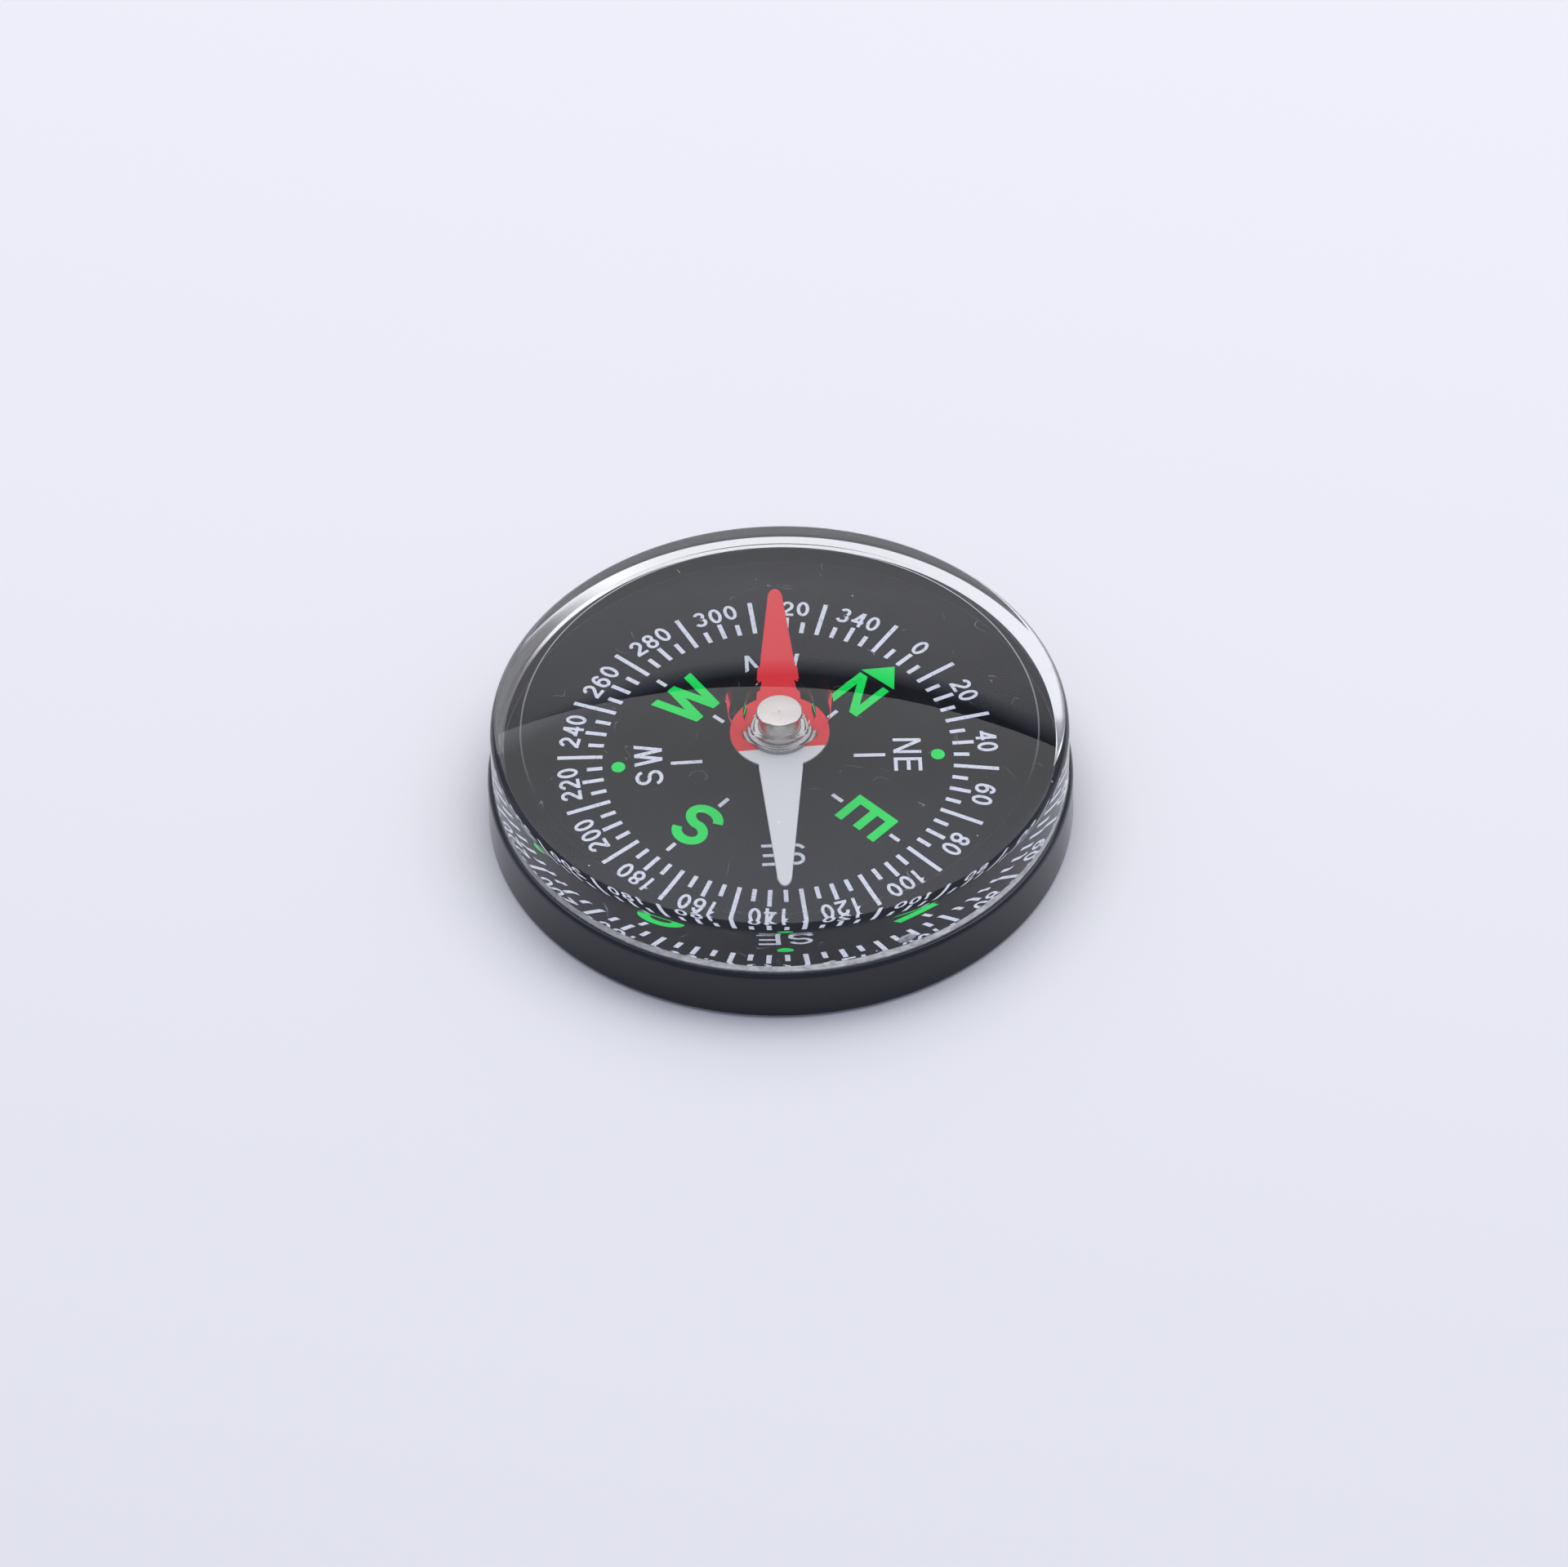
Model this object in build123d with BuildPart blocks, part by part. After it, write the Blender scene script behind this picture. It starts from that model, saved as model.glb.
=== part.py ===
"""Button compass, 45 mm across: a black moulded cup with a printed dial disc in it, a flat
steel needle riveted to a turned cap that rides on a steel point, and a domed clear cover
cemented to the rim of the cup. The space inside is filled with damping liquid.

Millimetres. The origin is the middle of the underside, +Z is up and +Y points to the dial's
north mark.
"""

import os
from math import acos, degrees, sqrt

from build123d import *

# Cup
base_diameter = 45.0
base_height = 4.5
floor_thickness = 1.0
rim_round = 0.55
foot_chamfer = 0.3
boss_diameter = 3.2
boss_height = 2.2
boss_draft = 0.2
pin_socket_depth = 2.0

# Domed cover and the cement under it
lens_inset = 0.3
lens_wall = 1.45
lens_edge_height = 4.7
lens_dome_rise = 3.0
lens_edge_round = 0.9
lens_crown = 1.15
cavity_dome_rise = 3.85
cavity_chamfer = 1.2
guard_inner_diameter = 5.1
guard_outer_diameter = 8.2
guard_depth = 2.2
guard_inner_taper = 0.2
guard_outer_taper = 0.3
cement_thickness = 0.12
cement_edge_inset = 0.06
cup_step = 0.05

# Dial disc
dial_thickness = 0.2
dial_edge_clearance = 0.15
dial_boss_clearance = 0.1

# Needle plate
needle_bearing = 316.0
needle_thickness = 0.3
needle_lift = 4.2
needle_swing_gap = 5.33
hub_diameter = 7.38
arm_root_width = 3.26
arm_tip_width = 1.15
arm_tip_length = 1.2

# Turned cap, its jewel and the point that carries it
cap_diameter = 3.45
cap_roof = 0.5
cap_roof_gap = 1.9
cap_edge_break = 0.08
flange_diameter = 4.85
flange_height = 0.45
collar_diameter = 4.25
collar_height = 0.4
spigot_diameter = 2.9
rivet_lip = 0.4
rivet_height = 0.2
jewel_diameter = 1.8
jewel_height = 0.9
jewel_cup_diameter = 1.1
jewel_cup_depth = 0.55
pin_diameter = 0.9
pin_point_length = 1.2
pin_point_radius = 0.06
point_clearance = 0.03

# Radii and heights that follow from the sizes above
base_radius = base_diameter / 2
lens_radius = base_radius - lens_inset
cavity_radius = lens_radius - lens_wall
cup_radius = cavity_radius + cup_step
boss_top = floor_thickness + boss_height
pin_foot = boss_top - pin_socket_depth
pin_radius = pin_diameter / 2
dial_top = floor_thickness + dial_thickness
lens_foot = base_height + cement_thickness
lens_shoulder = lens_foot + lens_edge_height
lens_apex = lens_shoulder + lens_dome_rise
cavity_apex = lens_apex - lens_crown
guard_foot = cavity_apex - guard_depth
needle_bottom = dial_top + needle_lift
needle_top = needle_bottom + needle_thickness
needle_reach = cavity_radius - needle_swing_gap
cap_top = cavity_apex - cap_roof_gap
jewel_top = cap_top - cap_roof
jewel_bottom = jewel_top - jewel_height
jewel_seat = jewel_bottom + jewel_cup_depth
pin_top = jewel_seat - point_clearance


def dome_radius(edge_radius, rise):
    """Radius of the sphere whose cap rises by rise over a circle of edge_radius."""
    return (edge_radius**2 + rise**2) / (2 * rise)


# Cup: one moulding with a flat underside, a rounded rim and a boss for the point
with BuildPart() as case_base:
    with BuildSketch(Plane.XZ):
        with BuildLine():
            Polyline(
                (0, 0),
                (base_radius, 0),
                (base_radius, base_height),
                (cup_radius, base_height),
                (cup_radius, floor_thickness),
                (boss_diameter / 2 + boss_draft, floor_thickness),
                (boss_diameter / 2, boss_top),
                (pin_radius, boss_top),
                (pin_radius, pin_foot),
                (0, pin_foot),
                close=True,
            )
        make_face()
    revolve(axis=Axis.Z)
    outer_wall = case_base.faces().filter_by(GeomType.CYLINDER).sort_by(SortBy.RADIUS)[-1]
    fillet(outer_wall.edges().filter_by(GeomType.CIRCLE).sort_by(Axis.Z)[-1], rim_round)
    outer_wall = case_base.faces().filter_by(GeomType.CYLINDER).sort_by(SortBy.RADIUS)[-1]
    chamfer(outer_wall.edges().filter_by(GeomType.CIRCLE).sort_by(Axis.Z)[0], foot_chamfer)
case_base.part.label = "case_base"

# Dial: a thin disc that lies on the floor of the cup, with a hole that clears the boss
with BuildPart() as dial_card:
    with BuildSketch(Plane.XY.offset(floor_thickness)):
        Circle(cup_radius - dial_edge_clearance)
        Circle(boss_diameter / 2 + boss_draft + dial_boss_clearance, mode=Mode.SUBTRACT)
    extrude(amount=dial_thickness)
dial_card.part.label = "dial_card"

# Point: a ground steel pin pressed into the boss, coned to a fine rounded tip
with BuildPart() as pivot_pin:
    with BuildSketch(Plane.XZ):
        with BuildLine():
            foot = Polyline(
                (0, pin_foot),
                (pin_radius, pin_foot),
                (pin_radius, pin_top - pin_point_length),
                (pin_point_radius, pin_top - pin_point_radius),
            )
            tip = TangentArc(foot @ 1, (0, pin_top), tangent=(0, 1))
            Line(tip @ 1, foot @ 0)
        make_face()
    revolve(axis=Axis.Z)
pivot_pin.part.label = "pivot_pin"

# Needle plate: a round hub and two tapered arms with long rounded ends, stamped from strip
needle_plane = Plane.XY.offset(needle_bottom).rotated((0, 0, -needle_bearing))
tip_half = arm_tip_width / 2
tip_root = needle_reach - arm_tip_length
hub_radius = hub_diameter / 2
with BuildPart() as needle_blade:
    with BuildSketch(needle_plane):
        with BuildLine():
            for side in (1, -1):
                EllipticalCenterArc(
                    (0, side * tip_root), tip_half, arm_tip_length, start_angle=90 - side * 90, arc_size=180
                )
                root = side * arm_root_width / 2
                Polyline(
                    (side * tip_half, tip_root),
                    (root, hub_radius),
                    (root, -hub_radius),
                    (side * tip_half, -tip_root),
                )
        make_face()
        Circle(hub_radius)
        Circle(spigot_diameter / 2, mode=Mode.SUBTRACT)
    extrude(amount=needle_thickness)
needle_blade.part.label = "needle_blade"

# Cap: turned brass with a stepped foot on the plate, its spigot riveted over below the plate
with BuildPart() as needle_cap:
    with BuildSketch(Plane.XZ):
        with BuildLine():
            Polyline(
                (0, cap_top),
                (cap_diameter / 2 - cap_edge_break, cap_top),
                (cap_diameter / 2, cap_top - cap_edge_break),
                (cap_diameter / 2, needle_top + flange_height + collar_height),
                (collar_diameter / 2, needle_top + flange_height + collar_height),
                (collar_diameter / 2, needle_top + flange_height),
                (flange_diameter / 2, needle_top + flange_height),
                (flange_diameter / 2, needle_top),
                (spigot_diameter / 2, needle_top),
                (spigot_diameter / 2, needle_bottom),
                (spigot_diameter / 2 + rivet_lip, needle_bottom),
                (spigot_diameter / 2, needle_bottom - rivet_height),
                (jewel_diameter / 2, needle_bottom - rivet_height),
                (jewel_diameter / 2, jewel_top),
                (0, jewel_top),
                close=True,
            )
        make_face()
    revolve(axis=Axis.Z)
needle_cap.part.label = "needle_cap"

# Jewel: a small glass bearing pressed to the top of the cap's bore, with a conical cup below
with BuildPart() as cap_jewel:
    with BuildSketch(Plane.XZ):
        with BuildLine():
            Polyline(
                (0, jewel_seat),
                (0, jewel_top),
                (jewel_diameter / 2, jewel_top),
                (jewel_diameter / 2, jewel_bottom),
                (jewel_cup_diameter / 2, jewel_bottom),
                close=True,
            )
        make_face()
    revolve(axis=Axis.Z)
cap_jewel.part.label = "cap_jewel"

# Cement: the thin bond between the rim of the cup and the foot of the cover
with BuildPart() as cement_ring:
    with BuildSketch(Plane.XY.offset(base_height)):
        Circle(lens_radius - cement_edge_inset)
        Circle(cup_radius, mode=Mode.SUBTRACT)
    extrude(amount=cement_thickness)
cement_ring.part.label = "cement_ring"

# Liquid space under the cover: a plain bore with a domed roof and a wide bevel where they meet. A
# tapered ring is left out of it under the crown: the guard that keeps the cap over its point.
cavity_sphere = dome_radius(cavity_radius, cavity_dome_rise)
with BuildPart() as cavity:
    with BuildSketch(Plane.XY.offset(lens_foot)):
        Circle(cavity_radius)
    extrude(amount=lens_apex - lens_foot)
    with Locations((0, 0, cavity_apex - cavity_sphere)):
        Sphere(cavity_sphere, rotation=(90, 0, 0), mode=Mode.INTERSECT)
    chamfer(cavity.edges().filter_by(GeomType.CIRCLE).sort_by(Axis.Z)[-1], cavity_chamfer)
    with BuildSketch(Plane.XZ):
        with BuildLine():
            Polyline(
                (guard_inner_diameter / 2, cavity_apex),
                (guard_inner_diameter / 2 + guard_inner_taper, guard_foot),
                (guard_outer_diameter / 2 - guard_outer_taper, guard_foot),
                (guard_outer_diameter / 2, cavity_apex),
                close=True,
            )
        make_face()
    revolve(axis=Axis.Z, mode=Mode.SUBTRACT)

# Cover: a clear moulding with an upright wall, a rounded shoulder and a shallow dome. The shoulder's
# arc touches the wall at shoulder_foot and the dome at dome_edge.
lens_sphere = dome_radius(lens_radius, lens_dome_rise)
lens_sphere_centre = lens_apex - lens_sphere
shoulder_centre = lens_radius - lens_edge_round
shoulder_foot = lens_sphere_centre + sqrt((lens_sphere - lens_edge_round) ** 2 - shoulder_centre**2)
shoulder_sweep = degrees(acos(shoulder_centre / (lens_sphere - lens_edge_round)))
with BuildPart() as lens_cover:
    with BuildSketch(Plane.XZ):
        with BuildLine():
            shoulder = CenterArc((shoulder_centre, shoulder_foot), lens_edge_round, 0, shoulder_sweep)
            dome_edge = (shoulder @ 1).X
            Polyline(
                shoulder @ 1,
                (dome_edge, lens_foot),
                (lens_radius, lens_foot),
                shoulder @ 0,
            )
        make_face()
    revolve(axis=Axis.Z)
    with BuildPart(mode=Mode.PRIVATE) as dome_core:
        with BuildSketch(Plane.XY.offset(lens_foot)):
            Circle(dome_edge)
        extrude(amount=lens_apex - lens_foot + lens_crown)
        with Locations((0, 0, lens_sphere_centre)):
            Sphere(lens_sphere, rotation=(90, 0, 0), mode=Mode.INTERSECT)
    add(dome_core.part)
    add(cavity.part, mode=Mode.SUBTRACT)
lens_cover.part.label = "lens_cover"

os.makedirs("parts", exist_ok=True)
for piece in (
    case_base,
    dial_card,
    pivot_pin,
    needle_blade,
    needle_cap,
    cap_jewel,
    cement_ring,
    lens_cover,
):
    export_step(piece.part, f"parts/{piece.part.label}.step")
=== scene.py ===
import bmesh
import bpy
import numpy as np
from mathutils import Matrix, Vector


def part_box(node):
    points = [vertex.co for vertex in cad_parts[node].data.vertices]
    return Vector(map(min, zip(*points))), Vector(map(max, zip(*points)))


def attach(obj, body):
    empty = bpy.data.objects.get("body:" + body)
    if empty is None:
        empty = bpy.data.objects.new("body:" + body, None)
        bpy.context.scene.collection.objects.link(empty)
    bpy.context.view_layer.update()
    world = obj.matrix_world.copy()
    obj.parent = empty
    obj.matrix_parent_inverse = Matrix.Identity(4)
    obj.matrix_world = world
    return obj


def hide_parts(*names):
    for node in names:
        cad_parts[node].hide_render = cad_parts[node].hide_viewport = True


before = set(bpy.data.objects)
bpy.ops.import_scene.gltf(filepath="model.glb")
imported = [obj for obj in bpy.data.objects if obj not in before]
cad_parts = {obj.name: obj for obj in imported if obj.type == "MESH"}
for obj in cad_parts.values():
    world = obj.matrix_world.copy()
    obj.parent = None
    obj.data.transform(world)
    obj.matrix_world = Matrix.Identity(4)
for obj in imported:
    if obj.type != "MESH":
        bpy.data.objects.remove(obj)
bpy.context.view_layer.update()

# Cup: the black body, one injection moulding in ABS with a flat underside, a chamfered foot and
# a rounded rim. A short boss rises from its floor to hold the point.
mm = 0.001
cup_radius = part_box("case_base")[1].x
rim_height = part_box("case_base")[1].z
dial_low, dial_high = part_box("dial_card")
pin_low, pin_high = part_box("pivot_pin")
dial_edge_gap = 0.15 * mm
cup_bore = dial_high.x + dial_edge_gap
rim_round = 0.55 * mm
foot_chamfer = 0.3 * mm
boss_radius = 1.6 * mm
boss_draft = 0.2 * mm
boss_height = 2.2 * mm
boss_top = dial_low.z + boss_height
edge_break = 0.06 * mm


def rounded_outline(corners, steps=8):
    """Outline through (r, z, round) corners. A corner with a round gives way to a circular arc
    that touches both of its sides: its centre lies on the bisector at round over the sine of
    the half angle, and the arc runs between the two touching points."""
    corners = np.asarray(corners, float)
    share = np.linspace(0, 1, steps)[:, None]
    pieces = [corners[:1, :2]]
    for before, corner, after in zip(corners[:-2], corners[1:-1], corners[2:]):
        to_before = (before - corner)[:2] / np.linalg.norm((before - corner)[:2])
        to_after = (after - corner)[:2] / np.linalg.norm((after - corner)[:2])
        half = np.arccos(np.clip(to_before @ to_after, -1, 1)) / 2
        bisector = (to_before + to_after) / np.linalg.norm(to_before + to_after)
        centre = corner[:2] + bisector * corner[2] / np.sin(half)
        start = corner[:2] + to_before * corner[2] / np.tan(half) - centre
        end = corner[:2] + to_after * corner[2] / np.tan(half) - centre
        turn = np.pi - 2 * half
        arc = centre + (np.sin((1 - share) * turn) * start + np.sin(share * turn) * end) / np.sin(turn)
        pieces.append(arc if corner[2] > 0 else corner[None, :2])
    return np.vstack(pieces + [corners[-1:, :2]])


def grid_faces(rows, columns, ring_rows=False, ring_columns=False):
    """Quads of a grid of points numbered row by row: quad (i, j) joins rows i and i + 1 and
    columns j and j + 1. A ring direction also joins its last line to its first."""
    index = np.arange(rows * columns).reshape(rows, columns)
    if ring_rows:
        index = np.vstack([index, index[:1]])
    if ring_columns:
        index = np.hstack([index, index[:, :1]])
    corners = [index[:-1, :-1], index[:-1, 1:], index[1:, 1:], index[1:, :-1]]
    return np.stack(corners, -1).reshape(-1, 4)


def make_piece(name, points, faces, crisp_degrees=35):
    """An object at the origin from arrays of points and faces. Points that coincide, as at a
    pole, are merged, and edges that turn by more than an angle stay crisp."""
    mesh = bpy.data.meshes.new(name)
    mesh.from_pydata(np.asarray(points).tolist(), [], np.asarray(faces).tolist())
    editing = bmesh.new()
    editing.from_mesh(mesh)
    bmesh.ops.remove_doubles(editing, verts=editing.verts, dist=1e-5 * mm)
    editing.to_mesh(mesh)
    editing.free()
    mesh.shade_smooth()
    mesh.set_sharp_from_angle(angle=np.radians(crisp_degrees))
    piece = bpy.data.objects.new(name, mesh)
    bpy.context.scene.collection.objects.link(piece)
    return piece


def turned(name, outline, steps=192, ring=False):
    """Surface of revolution: point (r, z) of the outline goes round the z axis as
    x = r cos(angle), y = r sin(angle). A ring outline closes on itself; an open one starts and
    ends on the axis."""
    outline = np.asarray(outline, float)
    angle = np.linspace(0, 2 * np.pi, steps, endpoint=False)
    points = np.empty((len(outline), steps, 3))
    points[..., 0] = np.outer(outline[:, 0], np.cos(angle))
    points[..., 1] = np.outer(outline[:, 0], np.sin(angle))
    points[..., 2] = outline[:, 1:2]
    return make_piece(name, points.reshape(-1, 3), grid_faces(len(outline), steps, ring, True))


def new_finish(name, **sockets):
    """A node material, its node tree and its Principled shader with the given sockets set."""
    material = bpy.data.materials.new(name)
    material.use_nodes = True
    tree = material.node_tree
    shader = tree.nodes["Principled BSDF"]
    for socket, value in sockets.items():
        shader.inputs[socket.replace("_", " ")].default_value = value
    return material, tree, shader


def add_node(tree, kind, sockets=(), **options):
    """A new node with its options set by attribute name and its sockets by name or number."""
    node = tree.nodes.new(kind)
    for option, value in options.items():
        setattr(node, option, value)
    for socket, value in dict(sockets).items():
        node.inputs[socket].default_value = value
    return node


def place_nodes(tree, kind, scale, **sockets):
    """A texture node of that kind on the piece's own Object coordinates, scale in cells per mm."""
    coordinate = add_node(tree, "ShaderNodeTexCoord")
    texture = add_node(tree, kind, {"Scale": scale / mm, **sockets})
    tree.links.new(coordinate.outputs["Object"], texture.inputs["Vector"])
    return texture


def remap(tree, source, low, high, to_low, to_high):
    """The source socket's value carried from the range low to high to a new range, clamped."""
    node = add_node(tree, "ShaderNodeMapRange", {1: low, 2: high, 3: to_low, 4: to_high})
    tree.links.new(source, node.inputs[0])
    return node.outputs[0]


def bump_from(tree, source, shader, depth, strength=1.0):
    """Feeds the source's height, depth in metres, to the shader's normal."""
    bump = add_node(tree, "ShaderNodeBump", {"Strength": strength, "Distance": depth})
    tree.links.new(source, bump.inputs["Height"])
    tree.links.new(bump.outputs["Normal"], shader.inputs["Normal"])


cup_outline = rounded_outline([
    (0, 0, 0),
    (cup_radius - foot_chamfer, 0, edge_break),
    (cup_radius, foot_chamfer, edge_break),
    (cup_radius, rim_height, rim_round),
    (cup_bore, rim_height, edge_break),
    (cup_bore, dial_low.z, edge_break),
    (boss_radius + boss_draft, dial_low.z, edge_break),
    (boss_radius, boss_top, edge_break),
    (pin_high.x, boss_top, 0),
    (pin_high.x, pin_low.z, 0),
    (0, pin_low.z, 0),
])
cup = turned("cup", cup_outline, steps=320)
black_abs, tree, shader = new_finish("satin_black_moulding", Base_Color=(0.003, 0.003, 0.008, 1))
smear = place_nodes(tree, "ShaderNodeTexNoise", 0.35, Detail=4.0, Roughness=0.6)
tree.links.new(remap(tree, smear.outputs["Fac"], 0.3, 0.7, 0.08, 0.15), shader.inputs["Roughness"])
grain = place_nodes(tree, "ShaderNodeTexNoise", 9.0, Detail=2.0)
bump_from(tree, grain.outputs["Fac"], shader, 0.004 * mm, 0.5)
cup.data.materials.append(black_abs)
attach(cup, "case")
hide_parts("case_base")

# Dial: a thin black sheet punched to a disc, with a hole that clears the boss. It lies loose on
# the floor of the cup, under the liquid, which takes the shine off it.
dial_boss_gap = 0.1 * mm
dial_edge_break = 0.03 * mm
dial_hole = boss_radius + boss_draft + dial_boss_gap
dial = turned("dial_card", rounded_outline([
    (dial_hole, dial_low.z, 0),
    (dial_high.x, dial_low.z, 0),
    (dial_high.x, dial_high.z, dial_edge_break),
    (dial_hole, dial_high.z, dial_edge_break),
    (dial_hole, dial_low.z, 0),
])[:-1], steps=256, ring=True)
dial_black, tree, shader = new_finish("dial_black", Roughness=0.7, Specular_IOR_Level=0.0)
mottle = place_nodes(tree, "ShaderNodeTexNoise", 0.3, Detail=5.0, Roughness=0.6)
fleck = place_nodes(tree, "ShaderNodeTexNoise", 3.0, Detail=2.0)
dial_shade = remap(tree, mottle.outputs["Fac"], 0.3, 0.7, 0.0, 0.06)
dial_fleck = remap(tree, fleck.outputs["Fac"], 0.74, 0.80, 0.0, 0.6)
dial_mark = add_node(tree, "ShaderNodeMath", operation="MAXIMUM")
tree.links.new(dial_shade, dial_mark.inputs[0])
tree.links.new(dial_fleck, dial_mark.inputs[1])
dial_colour = add_node(
    tree, "ShaderNodeMix", {6: (0.006, 0.006, 0.0078, 1), 7: (0.10, 0.10, 0.11, 1)}, data_type="RGBA")
tree.links.new(dial_mark.outputs[0], dial_colour.inputs[0])
tree.links.new(dial_colour.outputs[2], shader.inputs["Base Color"])
dial.data.materials.append(dial_black)
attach(dial, "case")
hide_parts("dial_card")

# Dial print: white scale and green compass letters, screen printed in thick ink on the disc. The
# scale has a mark every 5 degrees, a number at each 20 and a long mark midway between numbers.
ink_thickness = 0.015 * mm
ink_low = dial_high.z
ink_high = dial_high.z + ink_thickness
ink_step = 0.0015 * mm
print_middle = np.array([-0.112, -0.106]) * mm


def on_bearing(points, bearing):
    """Turns flat points, drawn with +y outward, clockwise about the dial's middle to a bearing:
    x' = x cos b + y sin b, y' = y cos b - x sin b."""
    turn = np.radians(bearing)
    return points @ np.array([[np.cos(turn), -np.sin(turn)], [np.sin(turn), np.cos(turn)]])


def ink_ribbon(left, right, ring=False):
    """A printed stroke between two flat edge lines: the section's four corners, low left, low
    right, high right and high left, go along the lines. An open stroke gets two end faces."""
    count = len(left)
    section = np.zeros((4, count, 3))
    section[[0, 3], :, :2] = left
    section[[1, 2], :, :2] = right
    section[:2, :, 2] = ink_low
    section[2:, :, 2] = ink_high
    faces = grid_faces(4, count, True, ring)[:, ::-1]
    corners = np.arange(4) * count
    if not ring:
        faces = np.vstack([faces, corners, corners[::-1] + count - 1])
    return section.reshape(-1, 3), faces


def ink_bar(x0, y0, x1, y1, width):
    """A straight stroke with level ends, from (x0, y0) to (x1, y1) along its left edge."""
    left = np.array([(x0, y0), (x1, y1)])
    return ink_ribbon(left, left + (width, 0))


def ink_curve(arcs, stroke, ring=False):
    """A stroke of even width along elliptic arcs (centre x, y, radii, first and last angle): the
    edge lines lie half a stroke each side of x = cx + rx cos(a), y = cy + ry sin(a)."""
    line = np.vstack([
        np.array([cx, cy]) + np.array([rx, ry]) * np.stack([np.cos(a), np.sin(a)], -1)
        for cx, cy, rx, ry, first, last in arcs
        for a in [np.radians(np.linspace(first, last, 25, endpoint=not ring))]
    ])
    along = np.roll(line, -1, 0) - np.roll(line, 1, 0)
    if not ring:
        along[0] = line[1] - line[0]
        along[-1] = line[-1] - line[-2]
    along[np.linalg.norm(along, axis=1) == 0] = (1, 0)
    side = np.stack([-along[:, 1], along[:, 0]], -1) / np.linalg.norm(along, axis=1)[:, None]
    return ink_ribbon(line + side * stroke / 2, line - side * stroke / 2, ring)


def glyph(letter, width, height, stroke):
    """One character as printed strokes in a cell of that width and height, corner at the origin.
    Straight strokes are bars, round ones arcs whose centre line lies half a stroke inside."""
    half = stroke / 2
    w = width - stroke
    h = height - stroke

    def arc(cx, cy, rx, ry, first, last):
        return (half + cx * w, half + cy * h, rx * w, ry * h, first, last)

    slant = stroke * 1.15
    lean = (width - slant) / 2
    if letter == "0":
        return [ink_curve([arc(0.5, 0.5, 0.5, 0.5, 0, 360)], stroke, True)]
    if letter == "1":
        return [ink_bar(0.42 * width, 0, 0.42 * width, height, stroke),
                ink_bar(0.08 * width, 0.66 * height, 0.42 * width, 0.84 * height, stroke)]
    if letter == "2":
        neck = [arc(0.5, 0.71, 0.48, 0.29, 172, -32), arc(0.03, 0.04, 0.02, 0.02, 120, 180)]
        return [ink_curve(neck, stroke), ink_bar(0, 0, 0, stroke, width)]
    if letter == "3":
        bows = [arc(0.47, 0.76, 0.43, 0.24, 160, -90), arc(0.47, 0.26, 0.5, 0.26, 90, -160)]
        return [ink_curve(bows, stroke)]
    if letter == "4":
        post = 0.62 * width
        return [ink_bar(post, 0, post, height, stroke),
                ink_bar(0, 0.24 * height, 0, 0.24 * height + stroke, width),
                ink_bar(0, 0.24 * height, post - 0.2 * stroke, height, slant)]
    if letter == "6":
        back = [arc(0.52, 0.71, 0.42, 0.29, 20, 90), arc(0.52, 0.45, 0.52, 0.55, 90, 195)]
        return [ink_curve([arc(0.5, 0.31, 0.5, 0.31, 0, 360)], stroke, True), ink_curve(back, stroke)]
    if letter == "8":
        return [ink_curve([arc(0.5, 0.77, 0.43, 0.23, 0, 360)], stroke, True),
                ink_curve([arc(0.5, 0.27, 0.5, 0.27, 0, 360)], stroke, True)]
    if letter == "N":
        return [ink_bar(0, 0, 0, height, stroke),
                ink_bar(width - stroke, 0, width - stroke, height, stroke),
                ink_bar(width - slant, 0, 0, height, slant)]
    if letter == "E":
        return [ink_bar(0, 0, 0, height, stroke),
                ink_bar(0, 0, 0, stroke, width),
                ink_bar(0, 0.52 * height - half, 0, 0.52 * height + half, 0.94 * width),
                ink_bar(0, height - stroke, 0, height, width)]
    if letter == "S":
        bows = [arc(0.5, 0.74, 0.46, 0.26, 12, 262), arc(0.5, 0.25, 0.5, 0.25, 82, -166)]
        return [ink_curve(bows, stroke)]
    return [ink_bar(lean / 2, 0, 0, height, slant),
            ink_bar(lean / 2, 0, lean, height, slant),
            ink_bar(1.5 * lean, 0, lean, height, slant),
            ink_bar(1.5 * lean, 0, 2 * lean, height, slant)]


def word(text, bearing, inner, height, widths, gap, stroke):
    """A word with its foot at radius inner and its top outward, centred on a bearing: its cells
    stand side by side with a gap and are then turned to the bearing as one."""
    cell = [widths[letter] for letter in text]
    start = -(sum(cell) + gap * (len(text) - 1)) / 2
    strokes = []
    for letter, width in zip(text, cell):
        for points, faces in glyph(letter, width, height, stroke):
            points[:, :2] = on_bearing(points[:, :2] + (start, inner), bearing)
            strokes.append((points, faces))
        start += width + gap
    return strokes


def dash(bearing, inner, outer, width):
    """A straight mark along a bearing, from radius inner to outer."""
    points, faces = ink_bar(-width / 2, inner, -width / 2, outer, width)
    points[:, :2] = on_bearing(points[:, :2], bearing)
    return [(points, faces)]


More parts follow.
